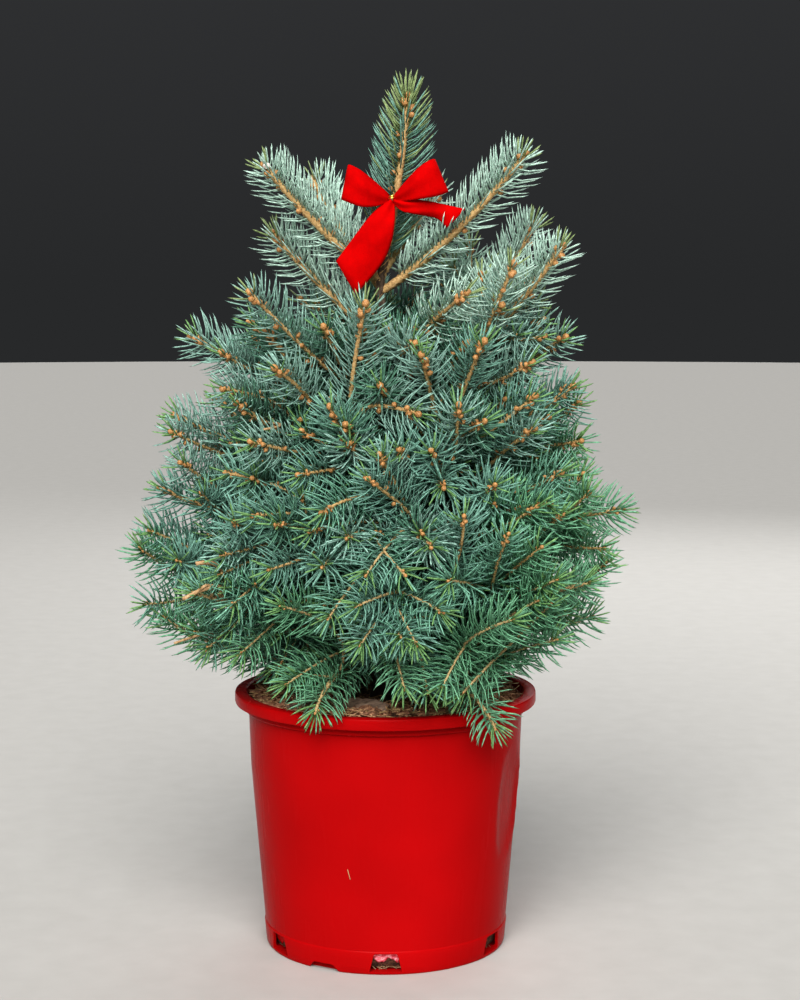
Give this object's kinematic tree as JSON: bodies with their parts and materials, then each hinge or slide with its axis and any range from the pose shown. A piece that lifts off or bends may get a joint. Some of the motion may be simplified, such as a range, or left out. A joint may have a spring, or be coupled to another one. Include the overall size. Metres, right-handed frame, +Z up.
{
  "type": "potted blue spruce",
  "caption": "Young blue spruce growing in a filled red plastic nursery pot, with a tapering trunk, tiers of boughs and sprays of stiff needles.",
  "frame": {"origin": "centre of the pot's flat underside", "axes": "+Z up along the trunk, -Y the front that the picture shows, +X to the viewer's right"},
  "size_m": [0.4648, 0.4247, 0.8026],
  "materials": {
    "pot": "glossy blown plastic with a rolled rim",
    "potting_mix": "damp shredded bark mix",
    "bark": "rough grey-brown bark",
    "bough_bark": "tan young bark with leaf pegs",
    "needles": "waxy blue-green needles"
  },
  "bodies": {
    "root": {"pot": "pot", "potting_mix": "potting_mix", "trunk": "bark", "rim_bough_1": "bough_bark", "rim_mass_1": "needles", "rim_bough_2": "bough_bark", "rim_mass_2": "needles", "rim_bough_3": "bough_bark", "rim_mass_3": "needles", "rim_bough_4": "bough_bark", "rim_mass_4": "needles", "rim_bough_5": "bough_bark", "rim_mass_5": "needles", "rim_bough_6": "bough_bark", "rim_mass_6": "needles", "wide_bough_1": "bough_bark", "wide_mass_1": "needles", "wide_bough_2": "bough_bark", "wide_mass_2": "needles", "wide_bough_3": "bough_bark", "wide_mass_3": "needles", "wide_bough_4": "bough_bark", "wide_mass_4": "needles", "wide_bough_5": "bough_bark", "wide_mass_5": "needles", "wide_bough_6": "bough_bark", "wide_mass_6": "needles", "middle_bough_1": "bough_bark", "middle_mass_1": "needles", "middle_bough_2": "bough_bark", "middle_mass_2": "needles", "middle_bough_3": "bough_bark", "middle_mass_3": "needles", "middle_bough_4": "bough_bark", "middle_mass_4": "needles", "middle_bough_5": "bough_bark", "middle_mass_5": "needles", "middle_bough_6": "bough_bark", "middle_mass_6": "needles", "middle_bough_7": "bough_bark", "middle_mass_7": "needles", "upper_mass_1": "needles", "upper_mass_2": "needles", "upper_mass_3": "needles", "upper_mass_4": "needles", "upper_mass_5": "needles", "upper_mass_6": "needles", "upper_mass_7": "needles", "high_mass_1": "needles", "high_mass_2": "needles", "high_mass_3": "needles", "high_mass_4": "needles", "high_mass_5": "needles", "high_mass_6": "needles", "top_mass_1": "needles", "top_mass_2": "needles", "top_mass_3": "needles", "top_mass_4": "needles", "top_mass_5": "needles", "leader_mass": "needles"}
  },
  "joints": []
}
